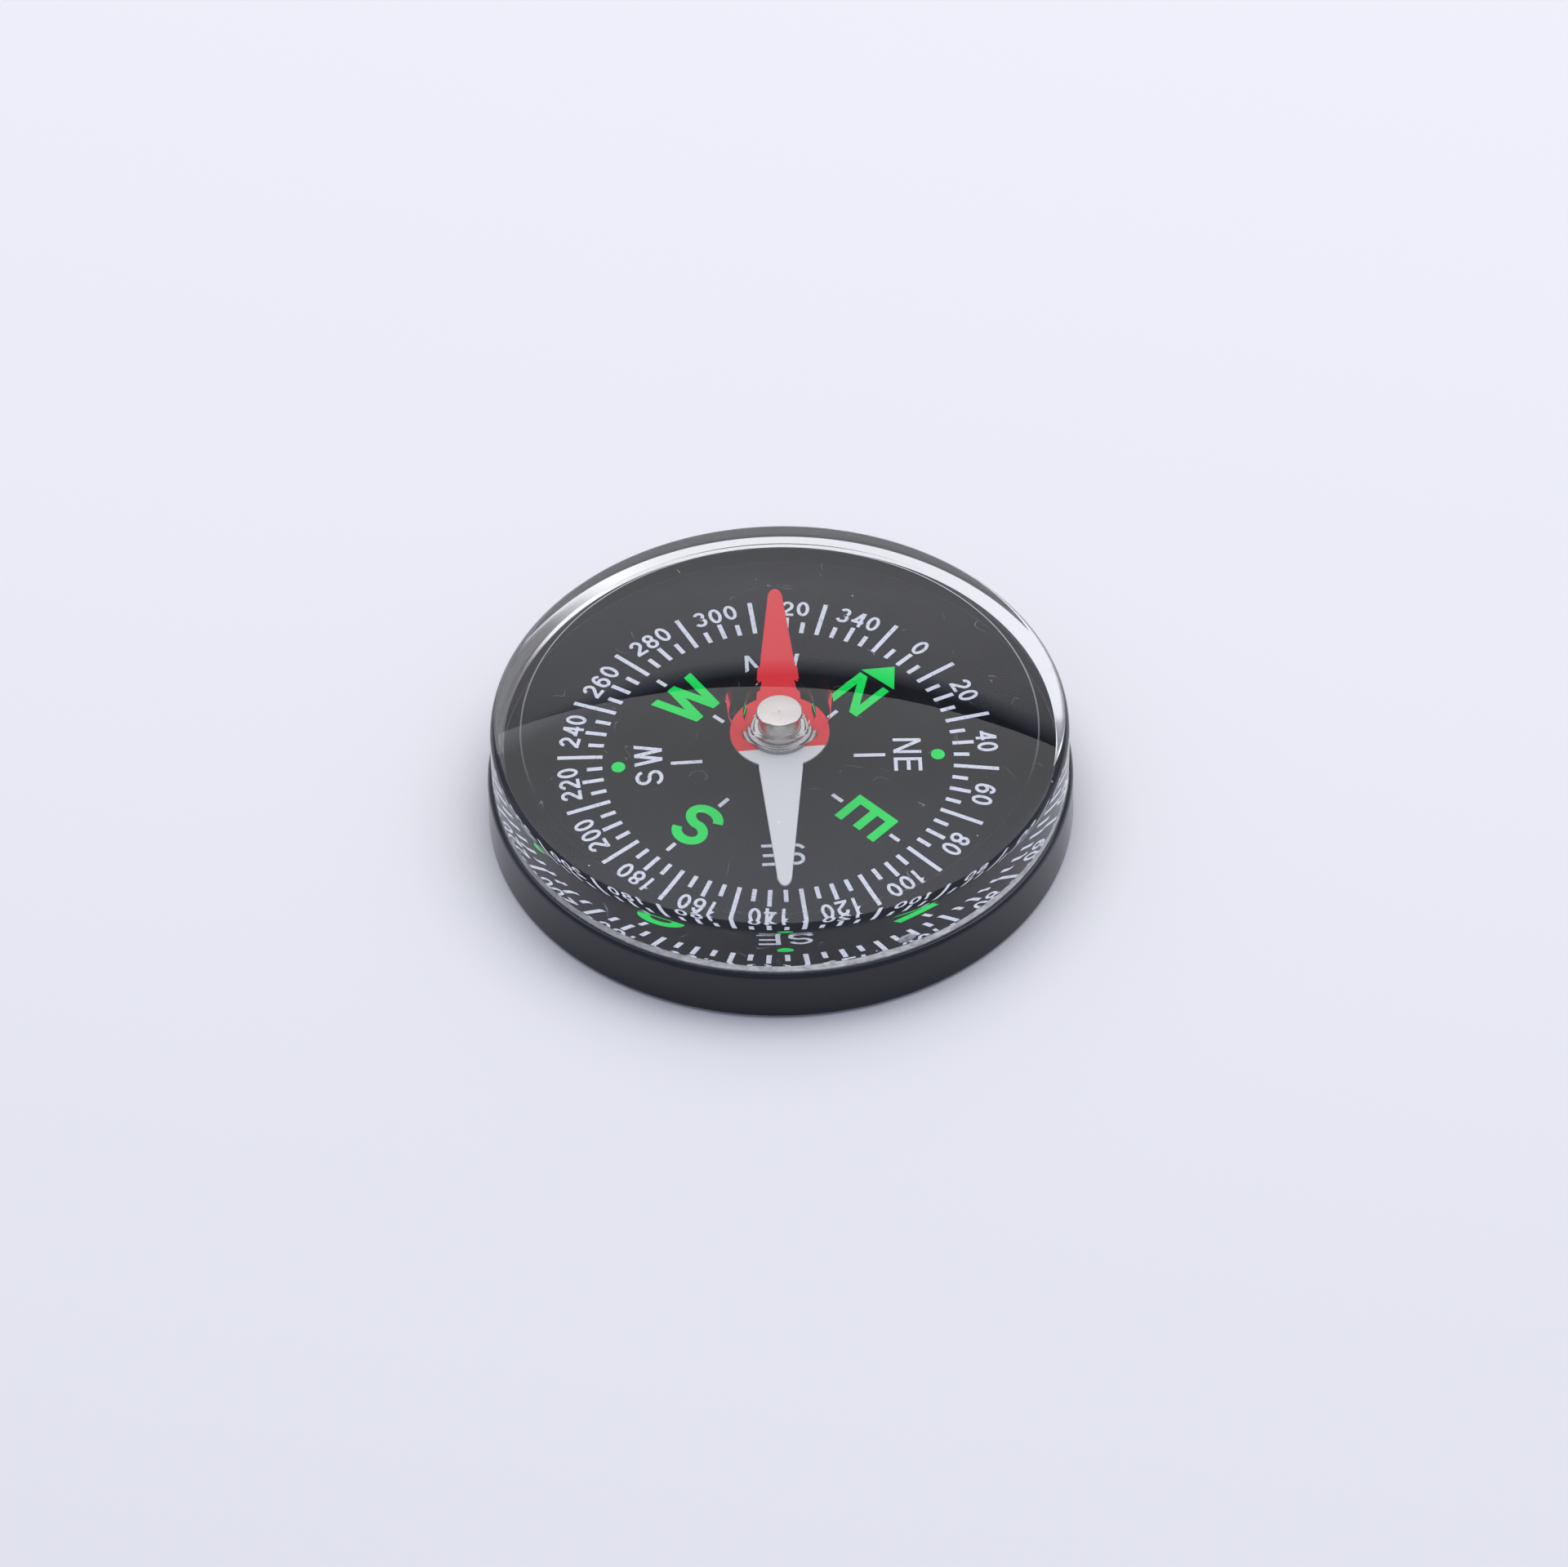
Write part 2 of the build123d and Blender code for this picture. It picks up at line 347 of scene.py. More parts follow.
def print_piece(name, strokes, material):
    """One printed piece on the dial from a list of strokes, each points and faces. Each stroke is
    a step thicker than the last, so that no two of them share a level where they cross."""
    counts = np.cumsum([0] + [len(points) for points, _ in strokes])
    order = np.repeat(np.arange(len(strokes)), np.diff(counts))
    points = np.vstack([points for points, _ in strokes])
    points[:, :2] += print_middle
    points[:, 2] += (points[:, 2] > ink_low) * (order % 7) * ink_step
    faces = [row for (_, quads), start in zip(strokes, counts) for row in (quads + start).tolist()]
    mesh = bpy.data.meshes.new(name)
    mesh.from_pydata(points.tolist(), [], faces)
    piece = bpy.data.objects.new(name, mesh)
    bpy.context.scene.collection.objects.link(piece)
    mesh.materials.append(material)
    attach(piece, "case")


def ink(name, colour, worn):
    """Printing ink: matt, a little uneven, with pinholes where a fine noise passes a limit."""
    material, tree, shader = new_finish(name, Roughness=0.6, Specular_IOR_Level=0.0)
    pinhole = place_nodes(tree, "ShaderNodeTexNoise", 7.0, Detail=3.0)
    mix = add_node(tree, "ShaderNodeMix", {6: colour, 7: worn}, data_type="RGBA")
    tree.links.new(remap(tree, pinhole.outputs["Fac"], 0.56, 0.72, 0.0, 1.0), mix.inputs[0])
    tree.links.new(mix.outputs[2], shader.inputs["Base Color"])
    return material


mark_inner = 12.82 * mm
mark_outer = {0: 14.4 * mm, 5: 13.97 * mm, 10: 16.17 * mm, 15: 13.97 * mm}
mark_width = 0.33 * mm
digit_widths = dict.fromkeys("023468", 0.92 * mm) | {"1": 0.72 * mm}
number_inner = 14.6 * mm
number_height = 1.55 * mm
number_gap = 0.22 * mm
number_stroke = 0.25 * mm
pair_widths = {"N": 1.45 * mm, "E": 1.3 * mm, "S": 1.45 * mm, "W": 2.1 * mm}
pair_inner = 8.4 * mm
pair_height = 2.05 * mm
pair_gap = 0.45 * mm
pair_stroke = 0.27 * mm
bold_widths = {"N": 2.85 * mm, "E": 2.75 * mm, "S": 3.0 * mm, "W": 4.25 * mm}
bold_inner = {"N": 6.87 * mm, "E": 6.82 * mm, "S": 6.70 * mm, "W": 6.87 * mm}
bold_height = {"N": 3.55 * mm, "E": 3.82 * mm, "S": 4.02 * mm, "W": 3.75 * mm}
bold_stroke = {"N": 0.62 * mm, "E": 0.68 * mm, "S": 0.74 * mm, "W": 0.60 * mm}
dash_width = 0.3 * mm
pair_dash = (5.5 * mm, 7.8 * mm)
inner_dash = (5.35 * mm, 6.35 * mm)
outer_dash = (11.05 * mm, 11.95 * mm)
dot_distance = 11.65 * mm
dot_radius = 0.255 * mm
white_strokes = []
for bearing in range(0, 360, 5):
    white_strokes += dash(bearing, mark_inner, mark_outer[bearing % 20], mark_width)
for bearing in range(0, 360, 20):
    white_strokes += word(
        str(bearing), bearing, number_inner, number_height, digit_widths, number_gap, number_stroke)
for bearing, pair in ((45, "NE"), (135, "SE"), (225, "SW"), (315, "NW")):
    white_strokes += word(pair, bearing, pair_inner, pair_height, pair_widths, pair_gap, pair_stroke)
    white_strokes += dash(bearing, *pair_dash, dash_width)
for bearing in (0, 90, 180, 270):
    white_strokes += dash(bearing, *inner_dash, dash_width)
for bearing in (90, 180, 270):
    white_strokes += dash(bearing, *outer_dash, dash_width)
white_ink = ink("white_ink", (0.66, 0.67, 0.71, 1), (0.30, 0.30, 0.33, 1))
print_piece("dial_scale", white_strokes, white_ink)

green_strokes = []
for bearing, letter in ((0, "N"), (90, "E"), (180, "S"), (270, "W")):
    green_strokes += word(
        letter, bearing, bold_inner[letter], bold_height[letter], bold_widths, 0, bold_stroke[letter])
for dot_bearing in (45, 135.4, 225, 315):
    points, faces = ink_curve([(0, dot_distance, dot_radius, dot_radius, 0, 360)], 2 * dot_radius, True)
    points[:, :2] = on_bearing(points[:, :2], dot_bearing)
    green_strokes.append((points, faces))
arrow = np.array([(-1.54, 10.66), (0, 12.58), (1.56, 10.80)]) * mm
green_strokes.append(ink_ribbon(arrow[[0, 1]], arrow[[2, 1]]))
green_ink = ink("green_ink", (0.010, 0.69, 0.095, 1), (0.01, 0.48, 0.07, 1))
print_piece("dial_letters", green_strokes, green_ink)

# Point: a hardened steel pin, ground to a cone with a fine rounded tip and pressed into the
# boss of the cup. The needle's jewel rides on it.
pin_radius = pin_high.x
pin_point_length = 1.2 * mm
pin_tip = 0.06 * mm
pin = turned("pivot_pin", rounded_outline([
    (0, pin_low.z, 0),
    (pin_radius, pin_low.z, 0),
    (pin_radius, pin_high.z - pin_point_length, 0.1 * mm),
    (pin_tip, pin_high.z - pin_tip, 0.02 * mm),
    (0, pin_high.z, 0),
]), steps=64)
ground_steel, tree, shader = new_finish(
    "ground_steel", Base_Color=(0.56, 0.56, 0.58, 1), Metallic=1.0, Anisotropic=0.5)
grind = place_nodes(tree, "ShaderNodeTexNoise", 12.0, Detail=2.0)
tree.links.new(remap(tree, grind.outputs["Fac"], 0.3, 0.7, 0.22, 0.38), shader.inputs["Roughness"])
pin.data.materials.append(ground_steel)
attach(pin, "case")
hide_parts("pivot_pin")

# Needle: a flat magnetised steel stamping with a round hub and two tapered arms. It is painted
# red on the north arm and most of the hub and white on the rest, with bare metal on its cut edge.
needle_bearing = 316.0
paint_lean = -3.6
blade_low, blade_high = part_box("needle_blade")
needle_reach = 15.42 * mm
hub_radius = 3.69 * mm
root_half = 1.63 * mm
tip_half = 0.575 * mm
tip_length = 1.2 * mm
rivet_hole = 1.45 * mm
blade_edge = 0.05 * mm
paint_border = -1.75 * mm
paint_soft = 0.02 * mm


def blade_outline():
    """The stamping's outline, anticlockwise with the north tip at +y: a half ellipse at each tip,
    straight arm sides, and the hub's arc where it stands outside the arms."""
    quarter = np.linspace(0, np.pi / 2, 13)
    tip = np.stack([tip_half * np.cos(quarter), tip_length * (np.sin(quarter) - 1) + needle_reach], -1)
    root_angle = np.arccos(root_half / hub_radius)
    sweep = np.linspace(-root_angle, root_angle, 49)
    hub = np.stack([np.cos(sweep), np.sin(sweep)], -1) * hub_radius
    corner = np.array([[root_half, hub_radius]])
    right = np.vstack([tip[::-1] * (1, -1), corner * (1, -1), hub, corner, tip])
    return np.vstack([right, right[-2:0:-1] * (-1, 1)])


def inset(outline, depth):
    """The closed outline moved inwards by depth along the mean normal of its two sides."""
    ahead = np.roll(outline, -1, 0) - outline
    behind = outline - np.roll(outline, 1, 0)
    ahead /= np.linalg.norm(ahead, axis=1)[:, None]
    behind /= np.linalg.norm(behind, axis=1)[:, None]
    along = (ahead + behind) / np.linalg.norm(ahead + behind, axis=1)[:, None]
    return outline + np.stack([-along[:, 1], along[:, 0]], -1) * depth


def blade_grid():
    """Rows of the plate's section carried round the outline: hole, flat, broken edge, upright
    edge and back, first under the plate and then over it."""
    edge = on_bearing(blade_outline(), needle_bearing)
    flat = on_bearing(inset(blade_outline(), blade_edge), needle_bearing)
    hole = edge / np.linalg.norm(edge, axis=1)[:, None] * rivet_hole
    rows = [(hole, blade_low.z), (flat, blade_low.z), (edge, blade_low.z + blade_edge),
            (edge, blade_high.z - blade_edge), (flat, blade_high.z), (hole, blade_high.z)]
    return np.array([np.column_stack([line, np.full(len(line), height)]) for line, height in rows])


blade_points = blade_grid()
blade_faces = grid_faces(*blade_points.shape[:2], True, True)
needle = make_piece("needle_blade", blade_points.reshape(-1, 3), blade_faces)
needle_paint, tree, shader = new_finish("needle_paint", Roughness=0.45, Specular_IOR_Level=0.05)
coordinate = add_node(tree, "ShaderNodeTexCoord")
paint_turn = np.radians(needle_bearing + paint_lean)
align = add_node(tree, "ShaderNodeMapping", {"Rotation": (0, 0, paint_turn)})
along = add_node(tree, "ShaderNodeSeparateXYZ")
tree.links.new(coordinate.outputs["Object"], align.inputs["Vector"])
tree.links.new(align.outputs["Vector"], along.inputs["Vector"])
border = remap(tree, along.outputs["Y"], paint_border - paint_soft, paint_border + paint_soft, 0.0, 1.0)
two_tone = add_node(
    tree, "ShaderNodeMix", {6: (0.58, 0.565, 0.54, 1), 7: (0.62, 0.032, 0.037, 1)}, data_type="RGBA")
tree.links.new(border, two_tone.inputs[0])
nick = place_nodes(tree, "ShaderNodeTexNoise", 3.5, Detail=4.0, Roughness=0.7)
worn_paint = add_node(tree, "ShaderNodeMix", {7: (0.10, 0.09, 0.09, 1)}, data_type="RGBA")
tree.links.new(remap(tree, nick.outputs["Fac"], 0.70, 0.76, 0.0, 0.8), worn_paint.inputs[0])
tree.links.new(two_tone.outputs[2], worn_paint.inputs[6])
tree.links.new(worn_paint.outputs[2], shader.inputs["Base Color"])
cut_edge, tree, shader = new_finish(
    "needle_cut_edge", Base_Color=(0.36, 0.35, 0.36, 1), Metallic=0.6, Roughness=0.45)
burr = place_nodes(tree, "ShaderNodeTexNoise", 6.0, Detail=2.0)
bump_from(tree, burr.outputs["Fac"], shader, 0.01 * mm)
needle.data.materials.append(needle_paint)
needle.data.materials.append(cut_edge)
face_up = np.empty(len(needle.data.polygons) * 3)
needle.data.polygons.foreach_get("normal", face_up)
needle.data.polygons.foreach_set("material_index", (np.abs(face_up[2::3]) < 0.3).astype(np.int32))
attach(needle, "needle")
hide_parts("needle_blade")

# Cap: turned from brass bar and nickel plated, with a flange and a collar at its foot. Its
# spigot goes through the needle and is riveted over below it. The lathe left its top finely
# ringed round a centre mark.
cap_low, cap_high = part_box("needle_cap")
cap_radius = 1.725 * mm
flange_radius = 2.425 * mm
flange_height = 0.45 * mm
flange_top = blade_high.z + flange_height
collar_radius = 2.125 * mm
collar_height = 0.4 * mm
collar_top = flange_top + collar_height
rivet_lip = 0.4 * mm
rivet_radius = rivet_hole + rivet_lip
jewel_low, jewel_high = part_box("cap_jewel")
cap_bore = jewel_high.x
centre_mark = 0.07 * mm
cap = turned("needle_cap", rounded_outline([
    (0, jewel_high.z, 0),
    (cap_bore, jewel_high.z, 0),
    (cap_bore, cap_low.z, 0.03 * mm),
    (rivet_hole, cap_low.z, 0.03 * mm),
    (rivet_radius, blade_low.z, 0.03 * mm),
    (rivet_hole, blade_low.z, 0),
    (rivet_hole, blade_high.z, 0),
    (flange_radius, blade_high.z, 0.04 * mm),
    (flange_radius, flange_top, 0.12 * mm),
    (collar_radius, flange_top, 0.05 * mm),
    (collar_radius, collar_top, 0.12 * mm),
    (cap_radius, collar_top, 0.08 * mm),
    (cap_radius, cap_high.z, 0.08 * mm),
    (centre_mark, cap_high.z, 0.02 * mm),
    (0, cap_high.z - centre_mark, 0),
]), steps=160)
nickel, tree, shader = new_finish("nickel_plate", Metallic=1.0, Anisotropic=0.7)
cap_place = add_node(tree, "ShaderNodeTexCoord")
cap_height = add_node(tree, "ShaderNodeSeparateXYZ")
tree.links.new(cap_place.outputs["Object"], cap_height.inputs[0])
# The plating's colour is darker below the top of the collar than above it.
plating = add_node(
    tree, "ShaderNodeMix", {6: (0.34, 0.33, 0.325, 1), 7: (0.55, 0.51, 0.485, 1)}, data_type="RGBA")
above_collar_share = remap(tree, cap_height.outputs["Z"], collar_top - 0.1 * mm, collar_top + 0.1 * mm, 0.0, 1.0)
tree.links.new(above_collar_share, plating.inputs[0])
tree.links.new(plating.outputs[2], shader.inputs["Base Color"])
around = add_node(tree, "ShaderNodeTangent", direction_type="RADIAL", axis="Z")
tree.links.new(around.outputs["Tangent"], shader.inputs["Tangent"])
tarnish = place_nodes(tree, "ShaderNodeTexNoise", 1.2, Detail=4.0)
tree.links.new(remap(tree, tarnish.outputs["Fac"], 0.3, 0.7, 0.24, 0.36), shader.inputs["Roughness"])
tool_mark = place_nodes(tree, "ShaderNodeTexWave", 2.2, Distortion=0.6, Detail=2.0)
tool_mark.wave_type = "RINGS"
tool_mark.rings_direction = "Z"
bump_from(tree, tool_mark.outputs["Fac"], shader, 0.0015 * mm, 0.4)
cap.data.materials.append(nickel)
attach(cap, "needle")
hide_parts("needle_cap")

# Jewel: a small cup of red bearing glass, ground with a conical hollow and pressed to the top
# of the cap's bore. Only its hollow touches the point.
jewel_cup = 0.55 * mm
jewel = turned("cap_jewel", rounded_outline([
    (0, jewel_low.z + jewel_cup, 0),
    (jewel_cup, jewel_low.z, 0.04 * mm),
    (cap_bore, jewel_low.z, 0.06 * mm),
    (cap_bore, jewel_high.z, 0.04 * mm),
    (0, jewel_high.z, 0),
]), steps=64)
bearing_glass, tree, shader = new_finish(
    "bearing_glass", Base_Color=(0.75, 0.12, 0.16, 1), Roughness=0.05, IOR=1.7,
    Transmission_Weight=0.8)
polish = place_nodes(tree, "ShaderNodeTexNoise", 8.0)
bump_from(tree, polish.outputs["Fac"], shader, 0.002 * mm, 0.3)
jewel.data.materials.append(bearing_glass)
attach(jewel, "needle")
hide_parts("cap_jewel")

# Cement: a thin bond of solvent cement between the rim of the cup and the foot of the cover. It is
# clear, so that the black rim shows through it, but it set cloudy and uneven on one side, where a
# bead of it was squeezed out on the bore.
cement_low, cement_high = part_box("cement_ring")
cement_outer = 21.9 * mm
cement_width = 0.95 * mm
cement_widest = 1.08 * mm
cement_skin = 0.01 * mm
cement_waves = [3, 5, 9, 16, 23, 31, 46, 90]
cement_cloud = np.radians(-28)
bead_angle = np.radians(-20.7)
bead_middle = 20.44 * mm
bead_lift = 0.38 * mm
bead_half = np.array([0.28, 0.85, 0.42]) * mm


def uneven(angle, waves, seed):
    """A smooth closed wobble between about -1 and 1: a sum of whole-number sine waves round the
    ring with seeded phases, each weighted by one over the root of its number."""
    draw = np.random.default_rng(seed)
    phase = draw.uniform(0, 2 * np.pi, len(waves))
    weight = 1 / np.sqrt(np.asarray(waves, float))
    return (np.sin(np.outer(angle, waves) + phase) * weight).sum(1) / weight.sum()


def cement_grid(angle):
    """The bond's section carried round the rim: outer edge upright, inner edge at a radius that
    wobbles, both faces level."""
    wide = 0.85 + 0.3 * np.cos(angle - cement_cloud)
    inner = cement_outer - cement_width * wide * (1 + 0.3 * uneven(angle, cement_waves, 4))
    inner = np.maximum(inner, cement_outer - cement_widest)
    outer = np.full(len(angle), cement_outer)
    rows = [(inner, cement_low.z), (outer, cement_low.z), (outer, cement_high.z - cement_skin),
            (inner, cement_high.z - cement_skin)]
    return np.array([
        np.column_stack([radius * np.cos(angle), radius * np.sin(angle), np.full(len(angle), height)])
        for radius, height in rows
    ])


def cement_bead(rows=17, columns=32):
    """A bead of squeezed-out cement on the bore: an ellipsoid by latitude and longitude, its
    radius swollen by waves of both, turned about the z axis to its place."""
    latitude = np.linspace(-np.pi / 2, np.pi / 2, rows)
    longitude = np.linspace(0, 2 * np.pi, columns, endpoint=False)
    north, east = np.meshgrid(latitude, longitude, indexing="ij")
    swell = 1 - 0.12 * (1 + np.sin(3 * east + 1) * np.cos(2 * north) * np.cos(north))
    ball = np.stack([np.cos(north) * np.cos(east), np.cos(north) * np.sin(east), np.sin(north)], -1)
    lump = ball * swell[..., None] * bead_half + (bead_middle, 0, cement_high.z + bead_lift)
    outward = np.array([np.cos(bead_angle), np.sin(bead_angle)])
    lump[..., :2] = lump[..., :2] @ np.array([outward, (-outward[1], outward[0])])
    return lump


cement_points = cement_grid(np.linspace(0, 2 * np.pi, 720, endpoint=False))
bead_points = cement_bead()
cement_faces = np.vstack([
    grid_faces(*cement_points.shape[:2], True, True),
    grid_faces(*bead_points.shape[:2], False, True) + cement_points[..., 0].size,
])
cement_corners = np.vstack([cement_points.reshape(-1, 3), bead_points.reshape(-1, 3)])
cement = make_piece("cement_ring", cement_corners, cement_faces)
place = np.empty(len(cement.data.vertices) * 3)
cement.data.vertices.foreach_get("co", place)
cloudiness = np.clip(np.cos((np.arctan2(place[1::3], place[0::3]) - cement_cloud) / 2), 0, 1) ** 5
cement.data.attributes.new("cloudiness", "FLOAT", "POINT").data.foreach_set("value", cloudiness)
clear_cement, tree, shader = new_finish("clear_cement", Roughness=0.4)
cloud = place_nodes(tree, "ShaderNodeTexNoise", 1.4, Detail=5.0, Roughness=0.65)
cloud_share = add_node(tree, "ShaderNodeAttribute", attribute_name="cloudiness")
cloud_mix = add_node(tree, "ShaderNodeMath", operation="MULTIPLY")
tree.links.new(remap(tree, cloud.outputs["Fac"], 0.3, 0.6, 0.35, 1.0), cloud_mix.inputs[0])
tree.links.new(cloud_share.outputs["Fac"], cloud_mix.inputs[1])
cloud_colour = add_node(
    tree, "ShaderNodeMix", {6: (0.02, 0.02, 0.022, 1), 7: (0.50, 0.50, 0.48, 1)}, data_type="RGBA")
tree.links.new(cloud_mix.outputs[0], cloud_colour.inputs[0])
tree.links.new(cloud_colour.outputs[2], shader.inputs["Base Color"])
cement.data.materials.append(clear_cement)
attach(cement, "case")
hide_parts("cement_ring")

# Cover: a clear acrylic moulding with an upright wall, a rounded shoulder, a shallow dome and a
# tapered guard ring under its crown, full of damping liquid. It is cemented to the rim, but at the
# back its matt foot slopes up off the cement with air under it. Dust and hairlines lie on it.
cover_low, cover_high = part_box("lens_cover")
cover_radius = cover_high.x
cover_wall = 1.45 * mm
cover_round = 0.9 * mm
dome_rise = 3.0 * mm
crown = 1.15 * mm
roof_rise = 3.85 * mm
bevel = 1.2 * mm
bore_round = 0.3 * mm
roof_haze = 0.16 * mm
foot_angles = [-105, -85, -75, -60, -45, 0, 25, 95]
foot_lifts = np.array([0, 1.12, 1.12, 1.02, 0.94, 0.84, 0.84, 0]) * mm
cover_back = np.radians(133.3)
guard_inner = 2.55 * mm
guard_outer = 4.1 * mm
guard_depth = 2.2 * mm
guard_taper_inner = 0.2 * mm
guard_taper_outer = 0.3 * mm
cavity_radius = cover_radius - cover_wall
roof_top = cover_high.z - crown
roof_foot = roof_top - roof_rise
acrylic_index = 1.49
liquid_index = 1.45


def dome_arc(radius, top, rise, reach, steps):
    """Points of a spherical cap from the axis out to reach: z = top - R + sqrt(R^2 - r^2), with
    R = (radius^2 + rise^2) / (2 rise)."""
    sphere = (radius**2 + rise**2) / (2 * rise)
    r = np.linspace(0, reach, steps)
    return np.stack([r, top - sphere + np.sqrt(sphere**2 - r**2)], -1)


def shoulder_arc(steps=24):
    """The round between the wall and the dome: its centre lies one round inside the wall and one
    round inside the dome's sphere, and it runs from level to the dome's own slope."""
    sphere = (cover_radius**2 + dome_rise**2) / (2 * dome_rise)
    across = cover_radius - cover_round
    level = cover_high.z - sphere + np.sqrt((sphere - cover_round) ** 2 - across**2)
    centre = np.array([across, level])
    steepest = np.arccos(across / (sphere - cover_round))
    angle = np.linspace(0, steepest, steps)[:, None]
    return centre + cover_round * np.hstack([np.cos(angle), np.sin(angle)])


shoulder = shoulder_arc()
roof = dome_arc(cavity_radius, roof_top, roof_rise, cavity_radius - bevel, 40)
bevel_foot = roof_foot - bevel
roof_line = np.array([[roof[-1, 0] + roof_haze * 0.7, roof[-1, 1] - roof_haze * 0.7]])
bore = rounded_outline([
    (*roof_line[0], 0),
    (cavity_radius, bevel_foot, bore_round),
    (cavity_radius, cover_low.z, 0),
], 9)
guard_foot = roof_top - guard_depth


def roof_height(radius):
    """Height of the domed roof at a radius, read from its points."""
    return np.interp(radius, roof[:, 0], roof[:, 1])


cover_outline = np.vstack([
    dome_arc(cavity_radius, roof_top, roof_rise, guard_inner, 8),
    [(guard_inner + guard_taper_inner, guard_foot), (guard_outer - guard_taper_outer, guard_foot)],
    [(guard_outer, roof_height(guard_outer))],
    roof[roof[:, 0] > guard_outer],
    bore,
    [(cover_radius, cover_low.z)],
    shoulder,
    dome_arc(cover_radius, cover_high.z, dome_rise, shoulder[-1, 0], 56)[-2::-1],
])
cover = turned("lens_cover", cover_outline, steps=288)
polished, tree, shader = new_finish(
    "polished_acrylic", Base_Color=(1, 1, 1, 1), Roughness=0.0, IOR=acrylic_index)
hair = place_nodes(tree, "ShaderNodeTexNoise", 0.24, Detail=1.0, Distortion=1.0)
hair_line = add_node(tree, "ShaderNodeMath", {1: 0.5}, operation="SUBTRACT")
hair_size = add_node(tree, "ShaderNodeMath", operation="ABSOLUTE")
tree.links.new(hair.outputs["Fac"], hair_line.inputs[0])
tree.links.new(hair_line.outputs[0], hair_size.inputs[0])
hair_patch = place_nodes(tree, "ShaderNodeTexNoise", 0.5, Detail=2.0)
dust = place_nodes(tree, "ShaderNodeTexVoronoi", 0.55)
dust_pick = add_node(tree, "ShaderNodeSeparateColor")
tree.links.new(dust.outputs["Color"], dust_pick.inputs[0])
mark_share = add_node(tree, "ShaderNodeMath", operation="MULTIPLY")
tree.links.new(remap(tree, hair_size.outputs[0], 0.001, 0.003, 0.24, 0.0), mark_share.inputs[0])
tree.links.new(remap(tree, hair_patch.outputs["Fac"], 0.60, 0.64, 0.0, 1.0), mark_share.inputs[1])
dust_share = add_node(tree, "ShaderNodeMath", operation="MULTIPLY")
tree.links.new(remap(tree, dust.outputs["Distance"], 0.03, 0.06, 0.5, 0.0), dust_share.inputs[0])
tree.links.new(remap(tree, dust_pick.outputs["Red"], 0.70, 0.72, 0.0, 1.0), dust_share.inputs[1])
marks = add_node(tree, "ShaderNodeMath", operation="MAXIMUM")
tree.links.new(mark_share.outputs[0], marks.inputs[0])
tree.links.new(dust_share.outputs[0], marks.inputs[1])
tree.links.new(remap(tree, marks.outputs[0], 0.0, 1.0, 1.0, 0.0), shader.inputs["Transmission Weight"])
wetted, tree, shader = new_finish(
    "wetted_acrylic", Base_Color=(1, 1, 1, 1), Roughness=0.0, IOR=acrylic_index / liquid_index,
    Transmission_Weight=1.0)
# The narrow line where the roof meets the bevel is a hazy white strip. Its haze is full at the back and
# fades out towards the front, which makes it a painted highlight where the light from behind catches
# the line.
hazy_highlight_line, tree, shader = new_finish(
    "hazy_edge_painted_highlight", Base_Color=(0.9, 0.9, 0.9, 1), Roughness=0.3, IOR=acrylic_index / liquid_index)
haze_and_highlight_share = add_node(tree, "ShaderNodeAttribute", attribute_name="haze_and_highlight")
clearness = remap(tree, haze_and_highlight_share.outputs["Fac"], 0.0, 1.0, 1.0, 0.45)
tree.links.new(clearness, shader.inputs["Transmission Weight"])
cover.data.materials.append(polished)
cover.data.materials.append(wetted)
cover.data.materials.append(hazy_highlight_line)
matt_foot, tree, shader = new_finish(
    "moulded_foot", Base_Color=(0.80, 0.79, 0.775, 1), Roughness=0.24, IOR=acrylic_index,
    Transmission_Weight=1.0)
cover.data.materials.append(matt_foot)
place = np.empty(len(cover.data.vertices) * 3)
cover.data.vertices.foreach_get("co", place)
place = place.reshape(-1, 3)
round_angle = np.arctan2(place[:, 1], place[:, 0]) - cover_back
from_back = np.degrees(np.arctan2(np.sin(round_angle), np.cos(round_angle)))
off_bore = np.linalg.norm(place[:, :2], axis=1) - cavity_radius
on_foot = np.hypot(off_bore, place[:, 2] - cover_low.z) < 1e-3 * mm
place[:, 2] += on_foot * np.interp(from_back, foot_angles, foot_lifts)
cover.data.vertices.foreach_set("co", place.ravel())
cover.data.update()
# Painted highlight: the line's haze is full within 40 degrees of the back and gone beyond 110 degrees.
haze_and_highlight = np.interp(np.abs(from_back), [40, 110], [1, 0])
cover.data.attributes.new("haze_and_highlight", "FLOAT", "POINT").data.foreach_set("value", haze_and_highlight)
facing = np.empty(len(cover.data.polygons) * 3)
middle = np.empty(len(cover.data.polygons) * 3)
cover.data.polygons.foreach_get("normal", facing)
cover.data.polygons.foreach_get("center", middle)
facing = facing.reshape(-1, 3)
middle = middle.reshape(-1, 3)
reach = np.linalg.norm(middle[:, :2], axis=1)
# The faces of the line under the roof's edge take the hazy finish that carries the painted highlight.
on_line = (reach > roof[-1, 0]) & (reach < roof_line[0, 0]) & (facing[:, 2] < 0)
under_roof = (reach < cavity_radius) & (middle[:, 2] < roof_height(reach) + crown / 2)
inside = (facing[:, 2] < -0.1) | under_roof
lifted = (reach > cavity_radius) & (facing[:, 2] < -0.1) & (facing[:, 2] > -0.999)
cover_finish = np.where(on_line, 2, np.where(lifted, 3, inside)).astype(np.int32)
cover.data.polygons.foreach_set("material_index", cover_finish)
cover.visible_shadow = False
cover.visible_diffuse = False
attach(cover, "case")
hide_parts("lens_cover")

